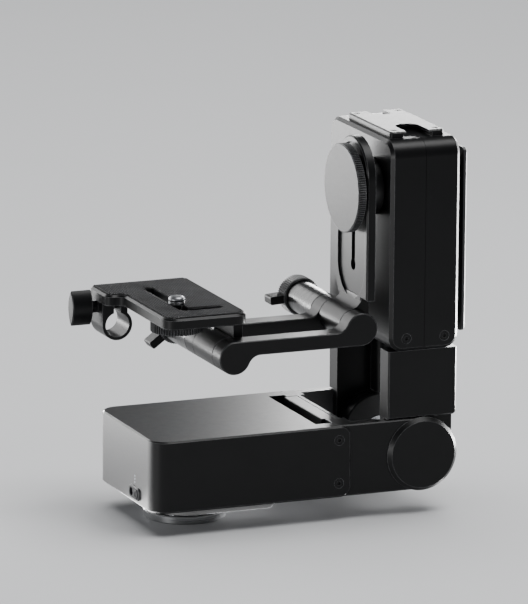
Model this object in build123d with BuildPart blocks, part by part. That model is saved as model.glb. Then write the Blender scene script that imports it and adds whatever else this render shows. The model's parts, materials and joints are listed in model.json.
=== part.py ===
from build123d import *
import os
from math import acos, cos, pi, radians, sin, tan

# Motorised pan and tilt head, in millimetres. +Z is up, +X runs from the base towards the tower,
# and the front faces -Y. The origin is on the pan axis, at the underside of the tripod disc.

# ---- driving dimensions ----
DISC_R = 25.0               # round tripod disc
DISC_T = 4.7
THREAD_R = 4.0              # minor radius of the 3/8 inch tripod thread
THREAD_DEPTH = 10.0
PLATEAU_Z = 5.2             # underside of the pan drive housing
BASE_Z = 14.6
BASE_H = 44.2
BASE_X0 = -38.4
BASE_X1 = 89.0
BODY_W = 95.0               # width of the base and the tower, along Y
WALL = 2.5
EDGE = 1.0                  # bright bevel along the outer edges
BASE_CORNER_R = 11.0
PAD_T = 1.5                 # the covers stand this much proud of the arms and legs
PAD_R = 6.5
SEAT_X = 81.0               # where the arms enter the base covers
HINGE_X = 135.9
CHEEK_T = 6.5
TONGUE_T = 5.7
CAP_R = 22.8
CAP_T = 2.7
TOWER_W = 45.0
LEG_Z = 59.4
TOWER_Z0 = 101.5
TOWER_Z1 = 230.2
TOWER_TOP_R = 10.0
TOWER_EDGE = 2.0
TOWER_CORNER_R = 8.5
SEAM = 0.2                  # width of the joint line between two half covers
TILT_Y = -20.3
TILT_Z = 199.0
HUB_R = 17.5
SLOT_R = 2.6                # half width of the bracket plate's slot
BOLT_R = 2.4                # clamp bolt
PLATE_X = 99.0              # outer face of the sliding bracket plate
PLATE_T = 5.6
PLATE_R = 24.0
SLOT_Z = (151.5, 206.5)     # centres of the slot's two ends
KEYHOLE_R = 3.6
RECESS_R = 20.3
WASHER_T = 1.5              # depth of the recess, and the clamp washer that lies in it
GUIDE_DROP = 8.0            # guide pin below the tilt axis
NECK_Z = 133.5              # lower edge of the bracket plate, beside the neck
KNOB_R = 27.0
KNOB_T = 5.0
PIVOT_X = 94.8              # upper pivot of the swing arms
PIVOT_Z = 117.5
LOW_PIVOT_X = 12.8          # lower pivot of the swing arms
LOW_PIVOT_Z = 106.5
BARREL_R = 10.0
PIN_R = 4.0
BOLT_SKIN = 2.5             # metal in front of the pivot bolts in the front arm
TOP_Z = 133.8               # top of the camera plate
CAMERA_T = 7.5
STUD_X = -10.3
STUD_Y = -11.5
STUD_R = 4.75
ROD_X = -29.5
ROD_Z = 112.0
ROD_R = 7.5
GEAR_MODULE = 0.8
GEAR_TEETH = 56
PINION_TEETH = 15
RUN = 0.05                  # radial clearance of a running fit
GAP = 0.3                   # clearance between moving faces

# ---- worked-out dimensions ----
FRONT_Y = -BODY_W / 2
REAR_Y = BODY_W / 2
BASE_TOP = BASE_Z + BASE_H
SPLIT_Z = BASE_Z + BASE_H / 2
HINGE_Z = SPLIT_Z
ARM_R = BASE_H / 2
ARM_FRONT = FRONT_Y + PAD_T
ARM_REAR = REAR_Y - PAD_T
TOWER_X0 = HINGE_X - TOWER_W / 2
TOWER_X1 = HINGE_X + TOWER_W / 2
GEAR_CENTRES = GEAR_MODULE * (GEAR_TEETH + PINION_TEETH) / 2
PLATE_BACK = PLATE_X + PLATE_T
FRONT_ARM_Y = (-48.5, -36.0)
REAR_ARM_Y = (-5.2, 8.0)
BARREL_Y = (FRONT_ARM_Y[1] + GAP, REAR_ARM_Y[0] - GAP)
SLEEVE_Y = (REAR_ARM_Y[1], 44.5)
LOCK_Y = (44.8, 56.8)
LOCK_R = 12.0
TAB_R = 20.6
CAMERA_X = (-30.3, 23.2)
CAMERA_Y = (-46.3, 57.5)
UNDER_Z = TOP_Z - CAMERA_T

TURN = {"X": (0, 90, 0), "Y": (-90, 0, 0), "Z": (0, 0, 0)}
FROM_START = (Align.CENTER, Align.CENTER, Align.MIN)


def save(part, label):
    """Label one finished piece and write it."""
    part.label = label
    export_step(part, f"parts/{label}.step")


def block(x_span, y_span, z_span, mode=Mode.ADD):
    """A box between three pairs of limits."""
    spans = (x_span, y_span, z_span)
    with Locations(tuple((low + high) / 2 for low, high in spans)):
        return Box(*(high - low for low, high in spans), mode=mode)


def rod(axis, start, radius, length, mode=Mode.ADD):
    """A cylinder that starts at a point and runs along +X, +Y or +Z."""
    with Locations(Location(start, TURN[axis])):
        return Cylinder(radius, length, align=FROM_START, mode=mode)


def facing_front(y):
    """The XZ plane at this depth: sketch right is +X, sketch up is +Z, and a negative extrude goes to +Y."""
    return Plane.XZ.offset(-y)


def facing_left(x):
    """The YZ plane at this X, seen from -X: right is -Y, up is +Z, a negative extrude goes to +X."""
    return Plane(origin=(x, 0, 0), x_dir=(0, -1, 0), z_dir=(-1, 0, 0))


def socket_screws(planes, head_r, head_t, shank_r, length, key):
    """Hex-socket screws: each plane is centred on a head's outer face and its normal points out."""
    with BuildPart() as screws:
        with BuildSketch(*planes):
            Circle(head_r)
        extrude(amount=-head_t)
        chamfer(screws.edges().filter_by(GeomType.CIRCLE), 0.3)
        with BuildSketch(*planes):
            Circle(shank_r)
        extrude(amount=-length)
        with BuildSketch(*planes):
            RegularPolygon(key / 2, 6)
        extrude(amount=-0.6 * head_t, mode=Mode.SUBTRACT)
    return screws.part


def knurl_points(radius, teeth, depth):
    """The corners of a round knurled outline."""
    points = []
    for i in range(2 * teeth):
        r = radius - depth * (i % 2)
        points.append((r * cos(pi * i / teeth), r * sin(pi * i / teeth)))
    return points


def involute(angle):
    return tan(angle) - angle


def tooth_points(teeth):
    """One involute tooth about the +X direction, from inside the root circle to the tip."""
    pitch_r = GEAR_MODULE * teeth / 2
    base_r = pitch_r * cos(radians(20))
    backlash = 0.16
    half_tooth = pi / (2 * teeth) - backlash / (2 * pitch_r)
    radii = [pitch_r - 1.4 * GEAR_MODULE, pitch_r - 0.5 * GEAR_MODULE, pitch_r]
    radii += [pitch_r + 0.5 * GEAR_MODULE, pitch_r + 0.95 * GEAR_MODULE]
    upper = []
    for r in radii:
        pressure = acos(min(1.0, base_r / r))
        turn = half_tooth + involute(radians(20)) - involute(pressure)
        upper.append((r * cos(turn), r * sin(turn)))
    lower = [(x, -y) for x, y in reversed(upper)]
    return upper + lower


def spur_gear(plane, teeth, width, bore_r):
    """A spur gear whose bore is at the plane's origin, with one tooth on the plane's +X side."""
    root_r = GEAR_MODULE * (teeth / 2 - 1.25)
    with BuildPart() as gear:
        with BuildSketch(plane):
            Circle(root_r)
            with PolarLocations(0, teeth):
                Polygon(*tooth_points(teeth), align=None)
            if bore_r:
                Circle(bore_r, mode=Mode.SUBTRACT)
        extrude(amount=width)
    return gear.part


def ball_bearing(plane, bore_r, outer_r, width, balls):
    """Inner race, outer race and balls, standing on the plane."""
    mid_r = (bore_r + outer_r) / 2
    race = (outer_r - bore_r) * 0.3
    ball_r = (outer_r - bore_r) * 0.27
    mid_plane = plane.offset(width / 2)
    with BuildPart() as bearing:
        with BuildSketch(plane):
            Circle(outer_r)
            Circle(outer_r - race, mode=Mode.SUBTRACT)
            Circle(bore_r + race)
            Circle(bore_r, mode=Mode.SUBTRACT)
        extrude(amount=width)
        with Locations(mid_plane.location):
            Torus(mid_r, ball_r + 0.05, mode=Mode.SUBTRACT)
            with PolarLocations(mid_r, balls):
                Sphere(ball_r)
    return bearing.part


def motor(plane, radius, length, boss_r, shaft_r):
    """A geared motor mounted on the plane: the can goes back from it and the boss stands out."""
    with BuildPart() as can:
        with BuildSketch(plane):
            Circle(radius)
        extrude(amount=-length)
        chamfer(can.edges().filter_by(GeomType.CIRCLE), 0.8)
        with BuildSketch(plane.offset(-length * 0.55)):
            Circle(radius + 1)
            Circle(radius - 0.6, mode=Mode.SUBTRACT)
        extrude(amount=0.8, mode=Mode.SUBTRACT)
        with BuildSketch(plane):
            Circle(boss_r)
            Circle(shaft_r + RUN, mode=Mode.SUBTRACT)
        extrude(amount=2)
        with BuildSketch(plane):
            Circle(shaft_r + RUN)
        extrude(amount=-10, mode=Mode.SUBTRACT)
    return can.part


def drive_pinion(plane, width, shaft_r, shaft_back):
    """A pinion with its motor shaft, which reaches back from the plane."""
    with BuildPart() as pinion:
        add(spur_gear(plane, PINION_TEETH, width, 0))
        with BuildSketch(plane):
            Circle(shaft_r)
        extrude(amount=-shaft_back)
    return pinion.part


def spring(start, direction, radius, wire_r, length, turns):
    """A helical compression spring that starts at a point and runs along a direction."""
    with BuildPart() as coil:
        with BuildLine():
            path = Helix(length / turns, length, radius, center=start, direction=direction)
        with BuildSketch(Plane(origin=path @ 0, z_dir=path % 0)):
            Circle(wire_r)
        sweep(path=path)
    return coil.part


os.makedirs("parts", exist_ok=True)


# ================= mount body: what the tripod holds =================
SPINDLE_R = 12.0
SPINDLE_BORE_R = 8.2
FLANGE_R = 19.0
SCREW_CIRCLE_R = 14.5
PAN_GEAR_Z = 21.0
PAN_GEAR_T = 6.0

with BuildPart() as mount_disc:
    with BuildSketch(Plane.XY):
        Circle(DISC_R)
    extrude(amount=DISC_T)
    chamfer(mount_disc.edges().filter_by(GeomType.CIRCLE), 0.6)
    with BuildSketch(Plane.XY.offset(DISC_T)):
        Circle(SPINDLE_BORE_R - 0.1)
    extrude(amount=THREAD_DEPTH + 2.5 - DISC_T)
    with BuildSketch(Plane.XY):
        Circle(THREAD_R)
    extrude(amount=THREAD_DEPTH, mode=Mode.SUBTRACT)
    with BuildSketch(Plane.XY):
        Circle(21.5)
        Circle(20.5, mode=Mode.SUBTRACT)
    extrude(amount=0.6, mode=Mode.SUBTRACT)
    with Locations(Plane.XY.rotated((180, 0, 0)).location):
        with PolarLocations(SCREW_CIRCLE_R, 4, start_angle=45):
            CounterSinkHole(radius=1.6, counter_sink_radius=3.0, depth=DISC_T)
save(mount_disc.part, "mount_disc")

with BuildPart() as disc_screws:
    with Locations(Plane.XY.location):
        with PolarLocations(SCREW_CIRCLE_R, 4, start_angle=45):
            Cone(2.9, 1.5, 1.4, align=FROM_START)
            Cylinder(1.5, DISC_T + 3.0, align=FROM_START)
            Cylinder(1.0, 0.8, align=FROM_START, mode=Mode.SUBTRACT)
save(disc_screws.part, "disc_screws")

with BuildPart() as pan_spindle:
    with BuildSketch(Plane.XY.offset(DISC_T)):
        Circle(FLANGE_R)
    extrude(amount=3.3)
    with BuildSketch(Plane.XY.offset(DISC_T)):
        Circle(SPINDLE_R)
    extrude(amount=31.0 - DISC_T)
    with BuildSketch(Plane.XY.offset(DISC_T)):
        Circle(SPINDLE_BORE_R)
        with PolarLocations(SCREW_CIRCLE_R, 4, start_angle=45):
            Circle(1.55)
    extrude(amount=31.0 - DISC_T, mode=Mode.SUBTRACT)
save(pan_spindle.part, "pan_spindle")

save(spur_gear(Plane.XY.offset(PAN_GEAR_Z), GEAR_TEETH, PAN_GEAR_T, SPINDLE_R + 0.02), "pan_gear")

with BuildPart() as spindle_nut:
    with BuildSketch(Plane.XY.offset(PAN_GEAR_Z + PAN_GEAR_T)):
        Circle(16.0)
        Circle(SPINDLE_R + 0.02, mode=Mode.SUBTRACT)
        with PolarLocations(16.0, 4):
            Rectangle(3.0, 4.0, mode=Mode.SUBTRACT)
    extrude(amount=3.5)
save(spindle_nut.part, "spindle_nut")


# ================= base body =================
PLATEAU_HALF_W = 22.5
PLATEAU_X1 = 52.0
BEARING_R = 18.5
BEARING_Z = 8.4
BEARING_T = 6.4
ARM_ROOT_X = 92.0
FRONT_ROOT_Y = -28.5
REAR_ROOT_Y = 34.0
SLOT_X = HINGE_X - ARM_R - 0.8
POCKET_X = (69.5, 87.0)
POCKET_Y = (-37.8, 37.0)
POCKET_DEPTH = 8.0
POCKET_SKIN = 1.6
PAN_MOTOR_X = GEAR_CENTRES
PORT_Y = -16.7              # bezel with the power socket and the power button
PORT_Z = 21.3
PORT_W = 17.0
PORT_H = 8.0
PORT_R = 3.0
SOCKET_Y = PORT_Y + 4.0
BUTTON_Y = PORT_Y - 4.2
BUTTON_R = 2.7
BUTTON_STEM_R = 1.2
LIGHT_R = 0.6
LIGHT_Y = -15.8
LIGHT_Z = 29.5
LIGHT_PITCH = 2.0
SHELL_SCREW_X = 81.1
SHELL_SCREW_DROP = 8.8
HEAD_R = 2.9
HEAD_T = 1.6
HEAD_SINK = 0.2             # how deep the screw heads lie under the surface
SEAT_DEPTH = 1.9
BOSS_DEPTH = 2.7
SHANK_R = 1.5
KEY = 2.9
BAR_X = (78.2, 86.7)
BAR_STROKE = 3.0
BAR_TOP = BASE_TOP - 0.1
BAR_LEG_Y = (-15.0, 19.0)
BAR_LEG_W = 7.0
BAR_LEG_X = (78.2, 81.0)
SPRING_SEAT_X = (66.5, 72.0)
SPRING_Z = 43.5
SPRING_R = 2.2
WIRE_R = 0.35
PORT_PROUD = 1.2
SOCKET_R = 2.5
MOTOR_PLATE_X = (12.0, 50.0)
MOTOR_PLATE_Z = 29.0
MOTOR_PLATE_T = 2.0
MOTOR_R = 15.0
MOTOR_LENGTH = 22.0
MOTOR_BOSS_R = 7.0
MOTOR_SHAFT_R = 2.0
WEB_X = 82.0                # cross web between the two arm roots
WEB_TOP = 48.5
INNER_CHEEK_T = 4.7
INNER_CHEEK_R = 16.0
HINGE_PIN_R = 5.0
WIRE_PIN_R = 8.0
HUB_Y = (20.5, 33.0)

with BuildPart() as pan_plateau:
    with BuildSketch(Plane.XY.offset(PLATEAU_Z)):
        Circle(PLATEAU_HALF_W)
        with Locations((PLATEAU_X1 / 2, 0)):
            Rectangle(PLATEAU_X1, 2 * PLATEAU_HALF_W)
    extrude(amount=BASE_Z - PLATEAU_Z)
    right_end = pan_plateau.edges().filter_by(Axis.Y).group_by(Axis.X)[-1].group_by(Axis.Z)[0]
    chamfer(right_end, 5.0)
    with BuildSketch(Plane.XY.offset(PLATEAU_Z)):
        Circle(FLANGE_R + GAP)
    extrude(amount=BEARING_Z - PLATEAU_Z, mode=Mode.SUBTRACT)
    with BuildSketch(Plane.XY.offset(PLATEAU_Z)):
        Circle(BEARING_R)
    extrude(amount=BASE_Z - PLATEAU_Z, mode=Mode.SUBTRACT)
    with BuildSketch(Plane.XY.offset(PLATEAU_Z)):
        with Locations((PLATEAU_X1 - 14, 0)):
            with GridLocations(0, 28, 1, 2):
                Circle(3.0)
    extrude(amount=2.0, mode=Mode.SUBTRACT)
save(pan_plateau.part, "pan_plateau")

save(ball_bearing(Plane.XY.offset(BEARING_Z), SPINDLE_R + RUN, BEARING_R, BEARING_T, 12), "pan_bearing")


def base_outline(inset):
    """The base seen from above, drawn in the current sketch and shrunk all round by the inset."""
    width = BASE_X1 - BASE_X0 - 2 * inset
    with Locations(((BASE_X0 + BASE_X1) / 2, 0)):
        outline = Rectangle(width, BODY_W - 2 * inset)
    left = outline.vertices().group_by(Axis.X)[0]
    fillet(left, BASE_CORNER_R - inset)


def pad_corner_cut(y_span):
    """Rounds the upper right corner of an end pad, as seen from the front."""
    with BuildSketch(facing_front(y_span[0])) as corner:
        with Locations((BASE_X1 - PAD_R / 2, BASE_TOP - PAD_R / 2)):
            Rectangle(PAD_R, PAD_R)
        with Locations((BASE_X1 - PAD_R, BASE_TOP - PAD_R)):
            Circle(PAD_R, mode=Mode.SUBTRACT)
    extrude(corner.sketch, amount=-(y_span[1] - y_span[0]), mode=Mode.SUBTRACT)


def on_base_rim(edge):
    """True for the outer top edges of the base, down round the end pads."""
    centre = edge.center()
    on_top = abs(centre.Z - BASE_TOP) < 0.01
    on_front = abs(abs(centre.Y) - REAR_Y) < 0.01
    on_left = abs(centre.X - BASE_X0) < 0.01
    at_corner = centre.X < BASE_X0 + BASE_CORNER_R and abs(centre.Y) > REAR_Y - BASE_CORNER_R
    end_pad = on_front and centre.X > BASE_X1 - PAD_R
    return (on_top and (on_front or on_left or at_corner)) or end_pad


def upper_cover():
    """The upper half cover of the base without its pocket, open below."""
    height = BASE_TOP - SPLIT_Z
    with BuildPart() as cover:
        with BuildSketch(Plane.XY.offset(SPLIT_Z)):
            base_outline(0)
        extrude(amount=height)
        pad_corner_cut((FRONT_Y, ARM_FRONT))
        pad_corner_cut((ARM_REAR, REAR_Y))
        chamfer(cover.edges().filter_by(on_base_rim), EDGE)
        with BuildSketch(Plane.XY.offset(SPLIT_Z)):
            base_outline(WALL)
        extrude(amount=height - WALL, mode=Mode.SUBTRACT)
        block((SEAT_X, BASE_X1 + 1), (ARM_FRONT, FRONT_ROOT_Y), (SPLIT_Z - 1, BASE_TOP + 1), Mode.SUBTRACT)
        block((SEAT_X, BASE_X1 + 1), (REAR_ROOT_Y, ARM_REAR), (SPLIT_Z - 1, BASE_TOP + 1), Mode.SUBTRACT)
    return cover.part


def screw_planes(x, z_values):
    """Planes on the front and the rear face of the covers, facing out."""
    front = [Plane(origin=(x, FRONT_Y, z), x_dir=(1, 0, 0), z_dir=(0, -1, 0)) for z in z_values]
    rear = [Plane(origin=(x, REAR_Y, z), x_dir=(-1, 0, 0), z_dir=(0, 1, 0)) for z in z_values]
    return front + rear


def screw_bosses(planes):
    """Round bosses behind the cover's face, which carry the counterbores."""
    with BuildSketch(*[plane.offset(-PAD_T) for plane in planes]) as bosses:
        Circle(HEAD_R + 1.2)
    extrude(bosses.sketch, amount=PAD_T - BOSS_DEPTH)


def screw_seats(planes):
    """Counterbored clearance holes for socket screws."""
    with BuildSketch(*planes) as heads:
        Circle(HEAD_R + 0.15)
    extrude(heads.sketch, amount=-SEAT_DEPTH, mode=Mode.SUBTRACT)
    with BuildSketch(*planes) as shanks:
        Circle(SHANK_R + 0.05)
    extrude(shanks.sketch, amount=-6.0, mode=Mode.SUBTRACT)


def sunk_screws(planes, length):
    """The socket screws that sit in the counterbores."""
    sunk = [plane.offset(-HEAD_SINK) for plane in planes]
    return socket_screws(sunk, HEAD_R, HEAD_T, SHANK_R, length, KEY)


UPPER_SCREWS = screw_planes(SHELL_SCREW_X, [BASE_TOP - SHELL_SCREW_DROP])
LOWER_SCREWS = screw_planes(SHELL_SCREW_X, [BASE_Z + SHELL_SCREW_DROP])
COVER = upper_cover()

with BuildPart() as base_upper_shell:
    add(COVER)
    pocket_floor = BASE_TOP - POCKET_DEPTH
    outer_x = (POCKET_X[0] - POCKET_SKIN, BASE_X1)
    outer_y = (POCKET_Y[0] + GAP - POCKET_SKIN, POCKET_Y[1] - GAP + POCKET_SKIN)
    block(outer_x, (FRONT_ROOT_Y, REAR_ROOT_Y), (pocket_floor - POCKET_SKIN, BASE_TOP))
    block((outer_x[0], SEAT_X), outer_y, (pocket_floor - POCKET_SKIN, BASE_TOP - WALL))
    block((POCKET_X[0], SEAT_X - 0.8), POCKET_Y, (pocket_floor, BASE_TOP + 1), Mode.SUBTRACT)
    block(POCKET_X, (FRONT_ROOT_Y + 1.2, REAR_ROOT_Y - 1.2), (pocket_floor, BASE_TOP + 1), Mode.SUBTRACT)
    for y in BAR_LEG_Y:
        leg_slot_y = (y - BAR_LEG_W / 2 - GAP, y + BAR_LEG_W / 2 + GAP)
        leg_slot_x = (BAR_LEG_X[0] - BAR_STROKE - GAP, BAR_LEG_X[1] + GAP)
        block(leg_slot_x, leg_slot_y, (pocket_floor - POCKET_SKIN - 1, pocket_floor + 1), Mode.SUBTRACT)
        block(SPRING_SEAT_X, leg_slot_y, (SPRING_Z - 4, pocket_floor - POCKET_SKIN + 0.1))
        hole_start = SPRING_SEAT_X[1] - BAR_STROKE - 0.5
        rod("X", (hole_start, y, SPRING_Z), SPRING_R + 0.8, 10, Mode.SUBTRACT)
    screw_bosses(UPPER_SCREWS)
    screw_seats(UPPER_SCREWS)
save(base_upper_shell.part, "base_upper_shell")

with BuildPart() as base_lower_shell:
    add(mirror(COVER, about=Plane.XY.offset(SPLIT_Z), mode=Mode.PRIVATE))
    for side in (-1, 1):
        inner = REAR_Y - WALL
        y_span = (inner - 6, inner + 0.5) if side > 0 else (-inner - 0.5, -inner + 6)
        block((MOTOR_PLATE_X[0], MOTOR_PLATE_X[1]), y_span, (BASE_Z + 1, MOTOR_PLATE_Z))
    rod("Z", (0, 0, BASE_Z - 1), BEARING_R + 1.5, WALL + 2, Mode.SUBTRACT)
    screw_bosses(LOWER_SCREWS)
    screw_seats(LOWER_SCREWS)
    with BuildSketch(facing_left(BASE_X0)):
        with Locations((-PORT_Y, PORT_Z)):
            RectangleRounded(PORT_W, PORT_H, PORT_R)
        with Locations((-LIGHT_Y, LIGHT_Z)):
            with GridLocations(0, LIGHT_PITCH, 1, 3):
                Circle(LIGHT_R)
    extrude(amount=-WALL, mode=Mode.SUBTRACT)
save(base_lower_shell.part, "base_lower_shell")

save(sunk_screws(UPPER_SCREWS + LOWER_SCREWS, 7.0), "shell_screws")

with BuildPart() as fork_frame:
    for y, thickness in ((ARM_FRONT, CHEEK_T), (ARM_REAR - CHEEK_T, CHEEK_T)):
        with BuildSketch(facing_front(y)):
            with Locations(((SEAT_X + HINGE_X) / 2, HINGE_Z)):
                Rectangle(HINGE_X - SEAT_X, BASE_H)
            with Locations((HINGE_X, HINGE_Z)):
                Circle(ARM_R)
        extrude(amount=-thickness)
    long_edges = fork_frame.edges().filter_by(lambda e: abs(abs(e.center().Y) - ARM_REAR) < 0.01)
    chamfer(long_edges.filter_by(lambda e: e.center().X > SEAT_X + 1), 0.6)
    block((SEAT_X, ARM_ROOT_X), (ARM_FRONT + CHEEK_T, FRONT_ROOT_Y), (BASE_Z, BASE_TOP))
    block((SEAT_X, ARM_ROOT_X), (REAR_ROOT_Y, ARM_REAR - CHEEK_T), (BASE_Z, BASE_TOP))
    block((ARM_ROOT_X, SLOT_X), (ARM_FRONT + CHEEK_T, FRONT_ROOT_Y), (BASE_Z + 2.5, BASE_TOP - 2.5))
    with BuildSketch(facing_front(FRONT_ROOT_Y - INNER_CHEEK_T)):
        with Locations(((ARM_ROOT_X + HINGE_X) / 2, HINGE_Z)):
            Rectangle(HINGE_X - ARM_ROOT_X, 2 * INNER_CHEEK_R)
        with Locations((HINGE_X, HINGE_Z)):
            Circle(INNER_CHEEK_R)
    extrude(amount=-INNER_CHEEK_T)
    tongue_z = (BASE_Z + WALL + 0.5, BASE_TOP - WALL - 0.5)
    block((SEAT_X - 7, SEAT_X), (ARM_FRONT + 1, ARM_FRONT + CHEEK_T), tongue_z)
    block((SEAT_X - 7, SEAT_X), (ARM_REAR - CHEEK_T, ARM_REAR - 1), tongue_z)
    block((WEB_X, BASE_X1 - WALL), (FRONT_ROOT_Y, REAR_ROOT_Y), (BASE_Z + WALL, WEB_TOP))
    rod("Y", (HINGE_X, ARM_FRONT - 1, HINGE_Z), HINGE_PIN_R, 20, Mode.SUBTRACT)
    rod("Y", (HINGE_X, ARM_REAR - CHEEK_T - 1, HINGE_Z), WIRE_PIN_R, 10, Mode.SUBTRACT)
    with BuildSketch(*(UPPER_SCREWS + LOWER_SCREWS)):
        Circle(SHANK_R + 0.02)
    extrude(amount=-14.0, mode=Mode.SUBTRACT)
    with BuildSketch(*(UPPER_SCREWS + LOWER_SCREWS)):
        Circle(HEAD_R + 1.25)
    extrude(amount=-(BOSS_DEPTH + 0.05), mode=Mode.SUBTRACT)
save(fork_frame.part, "fork_frame")

with BuildPart() as hinge_pin_front:
    rod("Y", (HINGE_X, ARM_FRONT, HINGE_Z), HINGE_PIN_R, FRONT_ROOT_Y - ARM_FRONT)
    chamfer(hinge_pin_front.edges().filter_by(GeomType.CIRCLE), 0.4)
save(hinge_pin_front.part, "hinge_pin_front")

with BuildPart() as hinge_pin_rear:
    rod("Y", (HINGE_X, HUB_Y[0] - 0.5, HINGE_Z), WIRE_PIN_R, ARM_REAR - HUB_Y[0] + 0.5)
    rod("Y", (HINGE_X, HUB_Y[0] - 1, HINGE_Z), WIRE_PIN_R - 2.5, 40, Mode.SUBTRACT)
save(hinge_pin_rear.part, "hinge_pin_rear")


def hinge_cap(plane):
    """A bevelled cover disc whose back lies on the plane."""
    with BuildPart() as cap:
        with BuildSketch(plane):
            Circle(CAP_R)
        extrude(amount=CAP_T)
        outer = cap.edges().filter_by(GeomType.CIRCLE).sort_by(lambda e: abs(e.center().Y))[-1]
        chamfer(outer, CAP_T - 0.5)
    return cap.part


save(hinge_cap(Plane(origin=(HINGE_X, ARM_FRONT, HINGE_Z), z_dir=(0, -1, 0))), "hinge_cap_front")
save(hinge_cap(Plane(origin=(HINGE_X, ARM_REAR, HINGE_Z), z_dir=(0, 1, 0))), "hinge_cap_rear")

with BuildPart() as pan_motor_plate:
    block(MOTOR_PLATE_X, (-REAR_Y + WALL, REAR_Y - WALL), (MOTOR_PLATE_Z, MOTOR_PLATE_Z + MOTOR_PLATE_T))
    rod("Z", (0, 0, MOTOR_PLATE_Z - 1), 17.0, 5, Mode.SUBTRACT)
    rod("Z", (PAN_MOTOR_X, 0, MOTOR_PLATE_Z - 1), 7.1, 5, Mode.SUBTRACT)
save(pan_motor_plate.part, "pan_motor_plate")

PAN_MOTOR_FACE = Plane(origin=(PAN_MOTOR_X, 0, MOTOR_PLATE_Z + MOTOR_PLATE_T), z_dir=(0, 0, -1))
save(motor(PAN_MOTOR_FACE, MOTOR_R, MOTOR_LENGTH, MOTOR_BOSS_R, MOTOR_SHAFT_R), "pan_motor")

PAN_PINION_PLANE = Plane(origin=(PAN_MOTOR_X, 0, PAN_GEAR_Z + PAN_GEAR_T), x_dir=(1, 0, 0), z_dir=(0, 0, -1))
save(drive_pinion(PAN_PINION_PLANE, PAN_GEAR_T, MOTOR_SHAFT_R, 12.0), "pan_pinion")

BOARD_Z = 38.0
with BuildPart() as control_board:
    block((BASE_X0 + 5, 10.0), (-38.0, 38.0), (BOARD_Z, BOARD_Z + 1.6))
    for x, y, length, width, height in ((-20, -20, 12, 12, 1.6), (-4, 8, 9, 16, 2.0), (-22, 18, 8, 20, 6.0)):
        block((x, x + length), (y, y + width), (BOARD_Z + 1.6, BOARD_Z + 1.6 + height))
    with Locations((-2, -28, BOARD_Z + 1.6), (7, -28, BOARD_Z + 1.6)):
        Cylinder(3.2, 9.0, align=FROM_START)
    with Locations((BASE_X0 + 9, 33, BOARD_Z), (6, 33, BOARD_Z), (BASE_X0 + 9, -33, BOARD_Z)):
        Hole(1.6, depth=1.6)
save(control_board.part, "control_board")

with BuildPart() as power_jack:
    with BuildSketch(facing_left(BASE_X0 - PORT_PROUD)):
        with Locations((-PORT_Y, PORT_Z)):
            RectangleRounded(PORT_W - 0.1, PORT_H - 0.1, PORT_R)
    extrude(amount=-(PORT_PROUD + WALL + 4))
    chamfer(power_jack.faces().sort_by(Axis.X)[0].edges(), 0.5)
    rod("X", (BASE_X0 - PORT_PROUD - 1, SOCKET_Y, PORT_Z), SOCKET_R, 8.0, Mode.SUBTRACT)
    rod("X", (BASE_X0 - PORT_PROUD + 1, SOCKET_Y, PORT_Z), 0.9, 6.5)
    rod("X", (BASE_X0 - PORT_PROUD - 1, BUTTON_Y, PORT_Z), BUTTON_R + GAP, 5.0, Mode.SUBTRACT)
    rod("X", (BASE_X0 - PORT_PROUD, BUTTON_Y, PORT_Z), BUTTON_STEM_R + GAP, 12.0, Mode.SUBTRACT)
save(power_jack.part, "power_jack")

with BuildPart() as power_button:
    rod("X", (BASE_X0 - PORT_PROUD - 0.5, BUTTON_Y, PORT_Z), BUTTON_R, 2.8)
    fillet(power_button.edges().sort_by(Axis.X)[0], 0.4)
    rod("X", (BASE_X0 - PORT_PROUD - 1, BUTTON_Y, PORT_Z), BUTTON_R - 1.2, 0.8, Mode.SUBTRACT)
    rod("X", (BASE_X0, BUTTON_Y, PORT_Z), BUTTON_STEM_R, 8.0)
save(power_button.part, "power_button")

with BuildPart() as status_lights:
    with BuildSketch(facing_left(BASE_X0 - 0.1)):
        with Locations((-LIGHT_Y, LIGHT_Z)):
            with GridLocations(0, LIGHT_PITCH, 1, 3):
                Circle(LIGHT_R - 0.03)
    extrude(amount=-WALL)
save(status_lights.part, "status_lights")


# ================= fold-lock release bar =================
with BuildPart() as release_bar:
    block(BAR_X, (FRONT_ROOT_Y + 1.6, REAR_ROOT_Y - 1.6), (BASE_TOP - POCKET_DEPTH + GAP, BAR_TOP))
    fillet(release_bar.edges().filter_by(Axis.Z), 0.8)
    fillet(release_bar.faces().sort_by(Axis.Z)[-1].edges(), 0.4)
    for y in BAR_LEG_Y:
        block(BAR_LEG_X, (y - BAR_LEG_W / 2, y + BAR_LEG_W / 2), (SPRING_Z - 3.5, BAR_TOP - 2))
save(release_bar.part, "release_bar")

with BuildPart() as release_springs:
    for y in BAR_LEG_Y:
        spring_length = BAR_X[0] - SPRING_SEAT_X[1] - 0.5
        add(spring((SPRING_SEAT_X[1], y, SPRING_Z), (1, 0, 0), SPRING_R, WIRE_R, spring_length, 5))
save(release_springs.part, "release_springs")


# ================= tower body =================
LEG_FRONT_Y = (-45.8, -33.5)
LEG_REAR_Y = (33.0, 45.5)
FRONT_TONGUE_Y = (ARM_FRONT + CHEEK_T + GAP, ARM_FRONT + CHEEK_T + GAP + TONGUE_T)
REAR_TONGUE_Y = (33.0, ARM_REAR - CHEEK_T - GAP)
TONGUE_R = TOWER_W / 2 - 0.15
OUTER_LEG_Y = (LEG_FRONT_Y[0], LEG_REAR_Y[1])
LEG_CORNER_R = 2.5
TILT_SEAT_R = 10.0
NECK_X = (HINGE_X - 13.0, HINGE_X + 13.0)
BLOCK_T = 13.0
TOWER_SCREW_X = (124.2, 149.2)
TOWER_SCREW_Z = 109.3
COVER_Y = REAR_Y - WALL - 0.1
CHANNEL_X = (HINGE_X, 153.0)
RAIL_MID_X = 135.0
RAIL_X = (117.5, 152.5)
RAIL_Y = (-36.0, 30.0)
RAIL_T = 3.9
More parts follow.
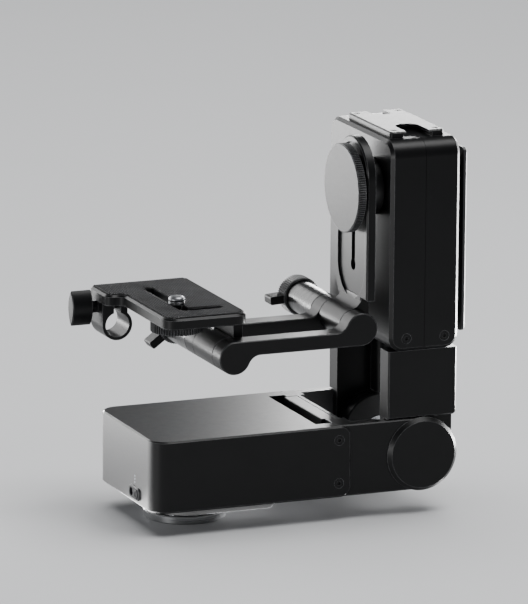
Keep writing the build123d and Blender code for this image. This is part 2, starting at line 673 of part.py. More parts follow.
RAIL_LOW_T = 2.4            # the horseshoe is wider below this height, under its lip
RAIL_SCREWS = [(x, y) for x in (121.5, 148.5) for y in (RAIL_Y[0] + 5, RAIL_Y[1] - 5)]
MOUNT_T = 4.7
BATTERY_T = 2.2
BATTERY_HALF_W = 41.5
BATTERY_Z = (109.5, 222.5)
TILT_GEAR_X = 118.6
TILT_GEAR_T = 5.5

with BuildPart() as tower_yoke:
    for y_span, tongue in ((LEG_FRONT_Y, FRONT_TONGUE_Y), (LEG_REAR_Y, REAR_TONGUE_Y)):
        block((TOWER_X0, TOWER_X1), y_span, (LEG_Z, TOWER_Z0 - 0.1))
        low_edges = tower_yoke.edges().filter_by(Axis.Y).filter_by(lambda e: abs(e.center().Z - LEG_Z) < 0.01)
        this_leg = low_edges.filter_by(lambda e: y_span[0] < e.center().Y < y_span[1])
        fillet(this_leg.sort_by(Axis.X)[-1], LEG_CORNER_R)
        with BuildSketch(facing_front(tongue[0])):
            with Locations((HINGE_X, HINGE_Z)):
                Circle(TONGUE_R)
            with Locations((HINGE_X, (HINGE_Z + LEG_Z + 1) / 2)):
                Rectangle(2 * TONGUE_R, LEG_Z + 1 - HINGE_Z)
        extrude(amount=-(tongue[1] - tongue[0]))
        neck_y = (max(y_span[0], -COVER_Y), min(y_span[1], COVER_Y))
        block(NECK_X, neck_y, (TOWER_Z0 - 1, TOWER_Z0 + WALL + 0.1))
    outer = tower_yoke.edges().filter_by(lambda e: min(abs(e.center().Y - y) for y in OUTER_LEG_Y) < 0.01)
    chamfer(outer.filter_by(lambda e: e.center().Z < TOWER_Z0 - 0.2), 0.8)
    inner_w = TOWER_W / 2 - WALL - 0.1
    cross_z = (TOWER_Z0 + WALL + 0.1, TOWER_Z0 + WALL + BLOCK_T)
    block((HINGE_X - inner_w, HINGE_X + inner_w), (-COVER_Y, COVER_Y), cross_z)
    block((HINGE_X - 10, HINGE_X + 10), (-25, 25), (TOWER_Z0, TOWER_Z0 + 30), Mode.SUBTRACT)
    rod("Y", (HINGE_X, FRONT_TONGUE_Y[0] - 1, HINGE_Z), HINGE_PIN_R + RUN, 10, Mode.SUBTRACT)
    rod("Y", (HINGE_X, REAR_TONGUE_Y[0] - 1, HINGE_Z), WIRE_PIN_R + RUN, 10, Mode.SUBTRACT)
    for x in TOWER_SCREW_X:
        rod("Y", (x, -REAR_Y, TOWER_SCREW_Z), SHANK_R + 0.02, 16, Mode.SUBTRACT)
        rod("Y", (x, REAR_Y - 16, TOWER_SCREW_Z), SHANK_R + 0.02, 16, Mode.SUBTRACT)
save(tower_yoke.part, "tower_yoke")

with BuildPart() as hinge_hub:
    rod("Y", (HINGE_X, HUB_Y[0], HINGE_Z), ARM_R - 0.2, HUB_Y[1] - HUB_Y[0])
    chamfer(hinge_hub.edges().filter_by(GeomType.CIRCLE).sort_by(Axis.Y)[0], 0.8)
    rod("Y", (HINGE_X, HUB_Y[0] - 1, HINGE_Z), WIRE_PIN_R + RUN, 20, Mode.SUBTRACT)
save(hinge_hub.part, "hinge_hub")

with BuildPart() as cable_cover:
    block(CHANNEL_X, (HUB_Y[0] + 1, HUB_Y[1]), (HINGE_Z + ARM_R, TOWER_Z0 - 0.1))
    fillet(cable_cover.edges().filter_by(Axis.Z).group_by(Axis.Y)[0], 4.0)
    rod("Y", (HINGE_X, HUB_Y[0], HINGE_Z), ARM_R - 0.1, 20, Mode.SUBTRACT)
save(cable_cover.part, "cable_cover")


def tower_outline(inset):
    """The tower cover seen from its left side: rounded upper corners, nearly square lower ones."""
    height = TOWER_Z1 - TOWER_Z0 - 2 * inset
    with Locations((0, (TOWER_Z0 + TOWER_Z1) / 2)):
        outline = Rectangle(BODY_W - 2 * inset, height)
    corners = outline.vertices().group_by(Axis.Y)
    fillet(corners[-1], TOWER_TOP_R - inset)


def tower_cover(keep_x):
    """One half of the tower's cover, between two X limits, hollow, with its openings."""
    with BuildPart() as cover:
        with BuildSketch(facing_left(TOWER_X0)):
            tower_outline(0)
        extrude(amount=-TOWER_W)
        bottom = cover.edges().filter_by(Axis.Y).group_by(Axis.Z)[0]
        fillet(bottom, TOWER_CORNER_R)
        ends = cover.faces().filter_by(Axis.X)
        chamfer(ends.edges().filter_by(lambda e: e.center().Z > TOWER_Z0 + 9), TOWER_EDGE)
        with BuildSketch(facing_left(TOWER_X0 + WALL)):
            tower_outline(WALL)
        extrude(amount=-(TOWER_W - 2 * WALL), mode=Mode.SUBTRACT)
        for y_span in (LEG_FRONT_Y, LEG_REAR_Y):
            neck_y = (max(y_span[0], -COVER_Y) - 0.1, min(y_span[1], COVER_Y) + 0.1)
            floor_z = (TOWER_Z0 - 1, TOWER_Z0 + WALL + 1)
            block((NECK_X[0] - 0.1, NECK_X[1] + 0.1), neck_y, floor_z, Mode.SUBTRACT)
        rod("X", (TOWER_X0 - 1, TILT_Y, TILT_Z), TILT_SEAT_R, WALL + 2, Mode.SUBTRACT)
        screw_seats(TOWER_SCREWS)
        for x in (keep_x[0] - 30, keep_x[1]):
            block((x, x + 30), (-60, 60), (90, 240), Mode.SUBTRACT)
    return cover.part


TOWER_SCREWS = []
for x in TOWER_SCREW_X:
    TOWER_SCREWS += screw_planes(x, [TOWER_SCREW_Z])
save(tower_cover((TOWER_X0, HINGE_X - SEAM / 2)), "tower_left_shell")
save(tower_cover((HINGE_X + SEAM / 2, TOWER_X1)), "tower_right_shell")
save(sunk_screws(TOWER_SCREWS, 14.0), "tower_screws")

with BuildPart() as accessory_rail:
    block(RAIL_X, RAIL_Y, (TOWER_Z1, TOWER_Z1 + RAIL_T))
    fillet(accessory_rail.edges().filter_by(Axis.Z), 2.5)
    chamfer(accessory_rail.faces().sort_by(Axis.Z)[-1].edges(), 0.8)
    for half_w, z in ((9.5, TOWER_Z1 - 0.1), (7.5, TOWER_Z1 + RAIL_LOW_T)):
        with BuildSketch(Plane.XY.offset(z)):
            with Locations((RAIL_MID_X, RAIL_Y[0] + 15.0)):
                Circle(half_w)
            with Locations((RAIL_MID_X, RAIL_Y[0] + 7.0)):
                Rectangle(2 * half_w, 16.0)
        extrude(amount=RAIL_LOW_T + 0.1, mode=Mode.SUBTRACT)
    notch_x = (RAIL_MID_X - 5.4, RAIL_MID_X + 5.4)
    block(notch_x, (RAIL_Y[1] - 13, RAIL_Y[1] + 1), (TOWER_Z1 - 1, 240), Mode.SUBTRACT)
    with Locations(*[(x, y, TOWER_Z1 + RAIL_T) for x, y in RAIL_SCREWS]):
        CounterSinkHole(radius=1.05, counter_sink_radius=1.95, depth=RAIL_T)
save(accessory_rail.part, "accessory_rail")

with BuildPart() as rail_screws:
    with Locations(*[(x, y, TOWER_Z1 + RAIL_T - 0.2) for x, y in RAIL_SCREWS]):
        Cone(1.0, 1.7, 0.8, align=(Align.CENTER, Align.CENTER, Align.MAX))
        Cylinder(1.0, RAIL_T - 0.3, align=(Align.CENTER, Align.CENTER, Align.MAX))
        Cylinder(0.7, 0.5, align=(Align.CENTER, Align.CENTER, Align.MAX), mode=Mode.SUBTRACT)
save(rail_screws.part, "rail_screws")

MOUNT_X = (TOWER_X1, TOWER_X1 + MOUNT_T)
BATTERY_X = (MOUNT_X[1], MOUNT_X[1] + BATTERY_T)
WEDGE_Z = (158.0, 212.0)
WEDGE_HALF = (13.0, 22.0)
WEDGE_UNDERCUT = 2.2
CONTACT_Z = 138.0
LATCH_Z = 124.0
LATCH_R = 6.0


def wedge_pocket(x_span, undercut):
    """The V-shaped seat for a battery's wedge, widest at its open upper end."""
    top = WEDGE_Z[1] + 12
    slope = (WEDGE_HALF[1] - WEDGE_HALF[0]) / (WEDGE_Z[1] - WEDGE_Z[0])
    low = WEDGE_HALF[0] + undercut
    high = low + slope * (top - WEDGE_Z[0])
    with BuildSketch(Plane(origin=(x_span[0], 0, 0), x_dir=(0, 1, 0), z_dir=(1, 0, 0))) as pocket:
        bottom = WEDGE_Z[0] - undercut
        Polygon((-low, bottom), (low, bottom), (high, top), (-high, top), align=None)
    extrude(pocket.sketch, amount=x_span[1] - x_span[0], mode=Mode.SUBTRACT)


with BuildPart() as battery_mount:
    block(MOUNT_X, (-34.0, 34.0), (116.0, 217.0))
    fillet(battery_mount.edges().filter_by(Axis.X), 4.0)
    wedge_pocket((MOUNT_X[0] + 0.7, MOUNT_X[1] + 1), WEDGE_UNDERCUT)
    rod("X", (MOUNT_X[0] + 0.4, 0, LATCH_Z), LATCH_R + GAP, 10, Mode.SUBTRACT)
    block((MOUNT_X[1] - 3.0, MOUNT_X[1] + 1), (-17.0, 17.0), (CONTACT_Z - 5, CONTACT_Z + 5), Mode.SUBTRACT)
save(battery_mount.part, "battery_mount")

with BuildPart() as battery_plate:
    block(BATTERY_X, (-BATTERY_HALF_W, BATTERY_HALF_W), BATTERY_Z)
    fillet(battery_plate.edges().filter_by(Axis.X), 3.0)
    chamfer(battery_plate.faces().sort_by(Axis.X)[-1].edges(), 0.6)
    wedge_pocket((BATTERY_X[0] - 1, BATTERY_X[1] + 1), 0.0)
    rod("X", (BATTERY_X[0] - 1, 0, LATCH_Z), LATCH_R - 1.2, 10, Mode.SUBTRACT)
    contact_z = (CONTACT_Z - 3.2, CONTACT_Z + 3.2)
    block((BATTERY_X[0] - 1, BATTERY_X[1] + 1), (-15.0, 15.0), contact_z, Mode.SUBTRACT)
save(battery_plate.part, "battery_plate")

with BuildPart() as battery_contacts:
    block((MOUNT_X[1] - 3.0, MOUNT_X[1]), (-16.8, 16.8), (CONTACT_Z - 4.8, CONTACT_Z + 4.8))
    block((MOUNT_X[1] - 1, BATTERY_X[1] + 0.8), (-14.8, 14.8), (CONTACT_Z - 3.0, CONTACT_Z + 3.0))
    for y in (-10.0, -3.5, 3.5, 10.0):
        rod("X", (BATTERY_X[1], y, CONTACT_Z), 1.2, 3.0)
save(battery_contacts.part, "battery_contacts")

with BuildPart() as battery_latch:
    rod("X", (BATTERY_X[0] - 1.6, 0, LATCH_Z), LATCH_R, 1.5)
    rod("X", (BATTERY_X[0] - 1.0, 0, LATCH_Z), LATCH_R - 1.5, BATTERY_T + 4.2)
    fillet(battery_latch.edges().filter_by(GeomType.CIRCLE).sort_by(Axis.X)[-1], 1.0)
save(battery_latch.part, "battery_latch")


# ================= tilt drive =================
TILT_AXIS_PLANE = Plane(origin=(TILT_GEAR_X, TILT_Y, TILT_Z), x_dir=(0, 1, 0), z_dir=(1, 0, 0))
TILT_SHAFT_R = 6.0
TILT_SHAFT_X1 = 128.0
TILT_MOTOR_Y = TILT_Y + GEAR_CENTRES
TILT_FRAME_X = (125.5, 127.5)

save(spur_gear(TILT_AXIS_PLANE, GEAR_TEETH, TILT_GEAR_T, TILT_SHAFT_R + 0.02), "tilt_gear")

TILT_BEARING_PLANE = Plane(origin=(TOWER_X0 + 0.3, TILT_Y, TILT_Z), x_dir=(0, 1, 0), z_dir=(1, 0, 0))
save(ball_bearing(TILT_BEARING_PLANE, TILT_SHAFT_R + RUN, TILT_SEAT_R, 4.0, 10), "tilt_bearing")

with BuildPart() as tilt_motor_plate:
    block(TILT_FRAME_X, (-COVER_Y, COVER_Y - 1), (TILT_Z - 30, TILT_Z + 18))
    rod("X", (TILT_FRAME_X[0] - 1, TILT_Y, TILT_Z), TILT_SHAFT_R + RUN, 5, Mode.SUBTRACT)
    rod("X", (TILT_FRAME_X[0] - 1, TILT_MOTOR_Y, TILT_Z), MOTOR_BOSS_R + 0.1, 5, Mode.SUBTRACT)
save(tilt_motor_plate.part, "tilt_motor_plate")

TILT_MOTOR_FACE = Plane(origin=(TILT_FRAME_X[1], TILT_MOTOR_Y, TILT_Z), x_dir=(0, 1, 0), z_dir=(-1, 0, 0))
save(motor(TILT_MOTOR_FACE, MOTOR_R, MOTOR_LENGTH, MOTOR_BOSS_R, MOTOR_SHAFT_R), "tilt_motor")

TILT_PINION_CENTRE = (TILT_GEAR_X + TILT_GEAR_T, TILT_MOTOR_Y, TILT_Z)
TILT_PINION_PLANE = Plane(origin=TILT_PINION_CENTRE, x_dir=(0, 1, 0), z_dir=(-1, 0, 0))
save(drive_pinion(TILT_PINION_PLANE, TILT_GEAR_T, MOTOR_SHAFT_R, 12.0), "tilt_pinion")

with BuildPart() as tilt_hub:
    rod("X", (PLATE_BACK + RUN, TILT_Y, TILT_Z), HUB_R, TOWER_X0 - GAP - PLATE_BACK - RUN)
    chamfer(tilt_hub.edges().filter_by(GeomType.CIRCLE), 0.6)
    rod("X", (TOWER_X0 - 1, TILT_Y, TILT_Z), TILT_SHAFT_R, TILT_SHAFT_X1 - TOWER_X0 + 1)
    rod("X", (PLATE_X + WASHER_T + GAP, TILT_Y, TILT_Z - GUIDE_DROP), BOLT_R, PLATE_T)
    rod("X", (PLATE_BACK - 1, TILT_Y, TILT_Z), BOLT_R + RUN, 12.0, Mode.SUBTRACT)
save(tilt_hub.part, "tilt_hub")

with BuildPart() as clamp_washer:
    rod("X", (PLATE_X + RUN, TILT_Y, TILT_Z), RECESS_R - 0.5, WASHER_T - 2 * RUN)
    rod("X", (PLATE_X - 1, TILT_Y, TILT_Z), BOLT_R + RUN, 5, Mode.SUBTRACT)
save(clamp_washer.part, "clamp_washer")

KNOB_BACK = PLATE_X - 1.8
with BuildPart() as clamp_knob:
    with BuildSketch(Plane(origin=(KNOB_BACK, TILT_Y, TILT_Z), x_dir=(0, -1, 0), z_dir=(-1, 0, 0))):
        Polygon(*knurl_points(KNOB_R, 120, 0.7), align=None)
    extrude(amount=KNOB_T - 0.5)
    rod("X", (KNOB_BACK - KNOB_T, TILT_Y, TILT_Z), KNOB_R - 0.8, KNOB_T)
    rod("X", (KNOB_BACK, TILT_Y, TILT_Z), 12.0, PLATE_X - KNOB_BACK)
    rod("X", (KNOB_BACK - 3, TILT_Y, TILT_Z), BOLT_R + 0.01, 5, Mode.SUBTRACT)
save(clamp_knob.part, "clamp_knob")

with BuildPart() as clamp_bolt:
    rod("X", (KNOB_BACK - 3, TILT_Y, TILT_Z), BOLT_R, PLATE_BACK + 10 - KNOB_BACK)
save(clamp_bolt.part, "clamp_bolt")


# ================= sliding bracket =================
FOOT_ANGLE = radians(75)    # where the blend to the plate leaves the upper barrel
BLEND_TOP = NECK_Z + 0.5
with BuildPart() as bracket_plate:
    with BuildSketch(Plane(origin=(PLATE_X, 0, 0), x_dir=(0, 1, 0), z_dir=(1, 0, 0))):
        rear_y = TILT_Y + PLATE_R
        front_y = TILT_Y - PLATE_R
        with Locations((TILT_Y, SLOT_Z[1])):
            Circle(PLATE_R)
        with Locations((TILT_Y, (SLOT_Z[1] + NECK_Z + 8) / 2)):
            Rectangle(2 * PLATE_R, SLOT_Z[1] - NECK_Z - 8)
        neck = [(front_y, NECK_Z + 8), (front_y, NECK_Z), (BARREL_Y[0], NECK_Z), (BARREL_Y[0], PIVOT_Z)]
        neck += [(BARREL_Y[1], PIVOT_Z), (BARREL_Y[1], PIVOT_Z + 8), (rear_y - 3, NECK_Z)]
        neck += [(rear_y, NECK_Z + 8)]
        Polygon(*neck, align=None)
    extrude(amount=PLATE_T)
    left_rim = bracket_plate.faces().sort_by(Axis.X)[0].edges()
    chamfer(left_rim, 0.9)
    with BuildSketch(Plane(origin=(PLATE_X, TILT_Y, 0), x_dir=(0, 0, 1), z_dir=(1, 0, 0))):
        with Locations((sum(SLOT_Z) / 2, 0)):
            SlotCenterToCenter(SLOT_Z[1] - SLOT_Z[0], 2 * RECESS_R)
    extrude(amount=WASHER_T, mode=Mode.SUBTRACT)
    with BuildSketch(Plane(origin=(PLATE_X, TILT_Y, 0), x_dir=(0, 0, 1), z_dir=(1, 0, 0))):
        with Locations((sum(SLOT_Z) / 2, 0)):
            SlotCenterToCenter(SLOT_Z[1] - SLOT_Z[0], 2 * SLOT_R)
        with Locations((SLOT_Z[0], 0)):
            Circle(KEYHOLE_R)
    extrude(amount=PLATE_T + 1, mode=Mode.SUBTRACT)
    with BuildSketch(facing_front(BARREL_Y[0])):
        with BuildLine():
            foot = (PIVOT_X - BARREL_R * cos(FOOT_ANGLE), PIVOT_Z + BARREL_R * sin(FOOT_ANGLE))
            blend = SagittaArc(foot, (PLATE_X + 0.9, BLEND_TOP), -1.6)
            Polyline(blend @ 1, (PLATE_BACK, BLEND_TOP), (PLATE_BACK, PIVOT_Z), (PIVOT_X, PIVOT_Z), foot)
        make_face()
        with Locations((PIVOT_X, PIVOT_Z)):
            Circle(BARREL_R)
            Circle(PIN_R + RUN, mode=Mode.SUBTRACT)
    extrude(amount=-(BARREL_Y[1] - BARREL_Y[0]))
    rod("Y", (PIVOT_X, BARREL_Y[0] - 1, PIVOT_Z), PIN_R + RUN, 60, Mode.SUBTRACT)
save(bracket_plate.part, "bracket_plate")


# ================= swing arms =================
def swing_arm(y_span, skin):
    """An S-shaped arm: a disc round each pivot joined by a level bar, bored from skin behind its front."""
    bar_low = PIVOT_Z - BARREL_R
    bar_high = LOW_PIVOT_Z + BARREL_R
    with BuildPart() as arm:
        with BuildSketch(facing_front(y_span[0])) as outline:
            with Locations((PIVOT_X, PIVOT_Z), (LOW_PIVOT_X, LOW_PIVOT_Z)):
                Circle(BARREL_R)
            with Locations(((PIVOT_X + LOW_PIVOT_X) / 2, (bar_low + bar_high) / 2)):
                Rectangle(PIVOT_X - LOW_PIVOT_X, bar_high - bar_low)
            necks = outline.vertices().filter_by(lambda v: LOW_PIVOT_X + 2 < v.X < PIVOT_X - 2)
            fillet(necks, 8.0)
        extrude(amount=-(y_span[1] - y_span[0]))
        chamfer(arm.faces().filter_by(Axis.Y).edges(), 0.5)
        for x, z in ((PIVOT_X, PIVOT_Z), (LOW_PIVOT_X, LOW_PIVOT_Z)):
            rod("Y", (x, y_span[0] + skin, z), PIN_R + 0.01, y_span[1] - y_span[0], Mode.SUBTRACT)
    return arm.part


save(swing_arm(FRONT_ARM_Y, BOLT_SKIN), "front_arm")
save(swing_arm(REAR_ARM_Y, 0), "rear_arm")


def pivot_bolt(x, z):
    """The clamp bolt through both arms, from the front arm to the lock knob."""
    with BuildPart() as bolt:
        bolt_y = FRONT_ARM_Y[0] + BOLT_SKIN
        rod("Y", (x, bolt_y, z), PIN_R, LOCK_Y[1] - 1 - bolt_y)
    return bolt.part


def lock_sleeve(x, z):
    """The clamp sleeve between the rear arm and the lock ring."""
    with BuildPart() as sleeve:
        rod("Y", (x, SLEEVE_Y[0], z), BARREL_R, SLEEVE_Y[1] - SLEEVE_Y[0])
        chamfer(sleeve.edges().filter_by(GeomType.CIRCLE), 0.4)
        rod("Y", (x, SLEEVE_Y[0] - 1, z), PIN_R + 0.01, 60, Mode.SUBTRACT)
    return sleeve.part


LOCK_TEETH = 54
LOCK_KNURL = 0.8


def lock_knob(x, z, tab_angle):
    """A knurled lock ring with one flat tab lever, which points along tab_angle in the XZ plane."""
    turn = radians(tab_angle)
    with BuildPart() as knob:
        with BuildSketch(Plane(origin=(x, LOCK_Y[0], z), x_dir=(1, 0, 0), z_dir=(0, -1, 0))):
            Circle(LOCK_R - LOCK_KNURL)
        extrude(amount=-(LOCK_Y[1] - LOCK_Y[0]))
        chamfer(knob.edges().filter_by(GeomType.CIRCLE), 0.6)
        with BuildSketch(Plane(origin=(x, LOCK_Y[0] + 0.8, z), x_dir=(1, 0, 0), z_dir=(0, -1, 0))):
            Polygon(*knurl_points(LOCK_R, LOCK_TEETH, LOCK_KNURL), align=None)
        extrude(amount=-(LOCK_Y[1] - LOCK_Y[0] - 1.6))
        tab_base = (x, LOCK_Y[0] + 1.2, z)
        with BuildSketch(Plane(origin=tab_base, x_dir=(cos(turn), 0, sin(turn)), z_dir=(0, -1, 0))):
            with Locations(((LOCK_R + TAB_R) / 2 - 1, 0)):
                RectangleRounded(TAB_R - LOCK_R + 2, 5.2, 1.2)
        extrude(amount=-(LOCK_Y[1] - LOCK_Y[0] - 2.4))
        rod("Y", (x, LOCK_Y[0] - 1, z), PIN_R + RUN, 20, Mode.SUBTRACT)
    return knob.part


PIVOTS = {"upper": (PIVOT_X, PIVOT_Z, 184), "lower": (LOW_PIVOT_X, LOW_PIVOT_Z, 216)}
for name, (x, z, tab_angle) in PIVOTS.items():
    save(pivot_bolt(x, z), f"{name}_pivot_bolt")
    save(lock_sleeve(x, z), f"{name}_lock_sleeve")
    save(lock_knob(x, z, tab_angle), f"{name}_lock_knob")


# ================= camera plate body =================
TAB_X0 = -40.6
TAB_Y0 = 26.0
LIP_R = 5.0
FRONT_CORNER_R = 9.0
SLOT_REAR_Y = 33.0          # centre of the long slot's rear end
CROSS_Y = -25.8             # the short slot, across the plate
CROSS_X1 = 10.0
PLATE_SLOT_R = 2.85
PAD_THICK = 0.8
WEB_SPAN_X = (16.6, 22.6)
CLAMP_SPAN_X = (ROD_X - 9.6, ROD_X + 6.6)
CLAMP_SPAN_Y = (37.0, 57.0)
CLAMP_MID_Y = (CLAMP_SPAN_Y[0] + CLAMP_SPAN_Y[1]) / 2
CLAMP_R = 9.6
SPLIT_W = 4.4
WING_Z = 122.0
WING_R = 2.0
WING_X = (-56.0, -43.0)
WING_HALF = 10.8


def camera_outline(inset):
    """The camera plate from above, with its rear tab on the left."""
    with BuildSketch(Plane.XY.offset(UNDER_Z)) as outline:
        x0, x1 = CAMERA_X
        y0, y1 = CAMERA_Y
        Polygon((x0, y0), (x1, y0), (x1, y1), (TAB_X0, y1), (TAB_X0, TAB_Y0), (x0, TAB_Y0), align=None)
        front_corners = outline.vertices().filter_by(lambda v: abs(v.Y - y0) < 0.01)
        fillet(front_corners, FRONT_CORNER_R)
        rear_corners = outline.vertices().filter_by(lambda v: v.Y > TAB_Y0 - 1)
        fillet(rear_corners, LIP_R)
        if inset:
            offset(amount=-inset)
    return outline.sketch


def camera_slots(z, depth):
    """The long slot and the short cross slot for the camera screw, cut down from this height."""
    with BuildSketch(Plane.XY.offset(z)) as slots:
        with Locations((STUD_X, (CROSS_Y + SLOT_REAR_Y) / 2)):
            SlotCenterToCenter(SLOT_REAR_Y - CROSS_Y, 2 * PLATE_SLOT_R, rotation=90)
        with Locations(((STUD_X + CROSS_X1) / 2, CROSS_Y)):
            SlotCenterToCenter(CROSS_X1 - STUD_X, 2 * PLATE_SLOT_R)
    extrude(slots.sketch, amount=-depth, mode=Mode.SUBTRACT)


with BuildPart() as camera_plate:
    extrude(camera_outline(0), amount=CAMERA_T - PAD_THICK)
    chamfer(camera_plate.faces().sort_by(Axis.Z)[-1].edges(), 1.2)
    chamfer(camera_plate.faces().sort_by(Axis.Z)[0].edges(), 0.5)
    camera_slots(TOP_Z, CAMERA_T + 1)
    block(WEB_SPAN_X, BARREL_Y, (LOW_PIVOT_Z, UNDER_Z + 1))
    with BuildSketch(facing_front(BARREL_Y[0])):
        with Locations((LOW_PIVOT_X, LOW_PIVOT_Z)):
            Circle(BARREL_R)
    extrude(amount=-(BARREL_Y[1] - BARREL_Y[0]))
    rod("Y", (LOW_PIVOT_X, BARREL_Y[0] - 1, LOW_PIVOT_Z), PIN_R + RUN, 60, Mode.SUBTRACT)
save(camera_plate.part, "camera_plate")

with BuildPart() as plate_pad:
    extrude(camera_outline(1.4).moved(Location((0, 0, CAMERA_T - PAD_THICK))), amount=PAD_THICK)
    camera_slots(TOP_Z + 1, 4)
save(plate_pad.part, "plate_pad")

with BuildPart() as rod_clamp:
    with BuildSketch(facing_front(CLAMP_SPAN_Y[0])):
        with Locations((ROD_X, ROD_Z)):
            Circle(CLAMP_R)
        with Locations((sum(CLAMP_SPAN_X) / 2, (ROD_Z + UNDER_Z) / 2)):
            Rectangle(CLAMP_SPAN_X[1] - CLAMP_SPAN_X[0], UNDER_Z - ROD_Z)
        with Locations((ROD_X, ROD_Z)):
            Circle(ROD_R + 0.05, mode=Mode.SUBTRACT)
        with Locations((ROD_X, ROD_Z + 6.5)):
            Rectangle(SPLIT_W, 13, mode=Mode.SUBTRACT)
    extrude(amount=-(CLAMP_SPAN_Y[1] - CLAMP_SPAN_Y[0]))
    rod("X", (CLAMP_SPAN_X[0] - 1, CLAMP_MID_Y, WING_Z), WING_R + RUN, 30, Mode.SUBTRACT)
save(rod_clamp.part, "rod_clamp")

with BuildPart() as clamp_wing_screw:
    with BuildSketch(facing_left(WING_X[0])):
        with BuildLine():
            tips = [(-CLAMP_MID_Y, WING_Z - WING_HALF), (-CLAMP_MID_Y, WING_Z + WING_HALF)]
            ThreePointArc(tips[0], (-CLAMP_MID_Y - 4.4, WING_Z), tips[1])
            ThreePointArc(tips[1], (-CLAMP_MID_Y + 4.4, WING_Z), tips[0])
        make_face()
    extrude(amount=-(WING_X[1] - WING_X[0]))
    chamfer(clamp_wing_screw.faces().filter_by(Axis.X).edges(), 0.5)
    rod("X", (WING_X[1] - 0.5, CLAMP_MID_Y, WING_Z), 3.6, CLAMP_SPAN_X[0] - GAP - WING_X[1] + 0.5)
    rod("X", (WING_X[1] - 0.5, CLAMP_MID_Y, WING_Z), WING_R, CLAMP_SPAN_X[1] - WING_X[1] - 0.5)
save(clamp_wing_screw.part, "clamp_wing_screw")


# ================= camera screw =================
WHEEL_R = 15.8
WHEEL_T = 7.4
SCREW_R = 2.6

with BuildPart() as screw_carriage:
    rod("Z", (STUD_X, STUD_Y, UNDER_Z - 1.2), 8.0, 1.1)
    rod("Z", (STUD_X, STUD_Y, UNDER_Z - 0.5), PLATE_SLOT_R - 0.05, 3.0)
    rod("Z", (STUD_X, STUD_Y, UNDER_Z - 2), SCREW_R - 0.6 + RUN, 9, Mode.SUBTRACT)
save(screw_carriage.part, "screw_carriage")

with BuildPart() as camera_screw:
    wheel_z = UNDER_Z - 1.3 - WHEEL_T
    with BuildSketch(Plane.XY.offset(wheel_z)):
        with Locations((STUD_X, STUD_Y)):
            Polygon(*knurl_points(WHEEL_R, 56, 0.8), align=None)
    extrude(amount=WHEEL_T)
    chamfer(camera_screw.faces().filter_by(Axis.Z).edges(), 0.3)
    rod("Z", (STUD_X, STUD_Y, wheel_z), SCREW_R - 0.6, UNDER_Z + 3.0 - wheel_z)
    rod("Z", (STUD_X, STUD_Y, UNDER_Z + 2.6), SCREW_R, TOP_Z - UNDER_Z - 2.3)
    rod("Z", (STUD_X, STUD_Y, TOP_Z + 0.1), STUD_R, 5.0)
    fillet(camera_screw.edges().filter_by(GeomType.CIRCLE).sort_by(Axis.Z)[-1], 2.2)
save(camera_screw.part, "camera_screw")
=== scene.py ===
import json
import math

import bmesh
import bpy
from mathutils import Euler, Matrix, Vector
from mathutils.bvhtree import BVHTree


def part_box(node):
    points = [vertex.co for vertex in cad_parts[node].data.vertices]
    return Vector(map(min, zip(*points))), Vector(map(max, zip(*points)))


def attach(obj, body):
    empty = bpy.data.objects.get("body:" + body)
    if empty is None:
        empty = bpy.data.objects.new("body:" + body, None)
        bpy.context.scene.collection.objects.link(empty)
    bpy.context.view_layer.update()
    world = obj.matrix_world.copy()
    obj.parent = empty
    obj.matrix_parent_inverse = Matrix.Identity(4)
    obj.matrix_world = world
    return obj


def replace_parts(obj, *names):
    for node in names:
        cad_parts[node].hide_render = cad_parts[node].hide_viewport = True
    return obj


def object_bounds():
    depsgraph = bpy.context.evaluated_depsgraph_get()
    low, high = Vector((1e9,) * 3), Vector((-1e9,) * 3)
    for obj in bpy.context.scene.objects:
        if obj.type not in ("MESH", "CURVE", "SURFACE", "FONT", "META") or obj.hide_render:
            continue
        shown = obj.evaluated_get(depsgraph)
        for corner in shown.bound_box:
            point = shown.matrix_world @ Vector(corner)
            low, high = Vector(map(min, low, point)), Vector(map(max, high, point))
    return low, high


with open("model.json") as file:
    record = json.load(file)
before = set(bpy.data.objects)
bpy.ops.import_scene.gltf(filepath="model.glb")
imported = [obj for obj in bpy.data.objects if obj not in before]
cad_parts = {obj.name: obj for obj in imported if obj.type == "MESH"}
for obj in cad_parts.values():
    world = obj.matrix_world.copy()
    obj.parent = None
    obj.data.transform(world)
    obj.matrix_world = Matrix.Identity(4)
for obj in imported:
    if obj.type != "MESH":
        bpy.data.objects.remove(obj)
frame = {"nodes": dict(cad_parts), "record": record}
NODES = frame["nodes"]
cad_low, cad_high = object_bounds()

MM = 0.001


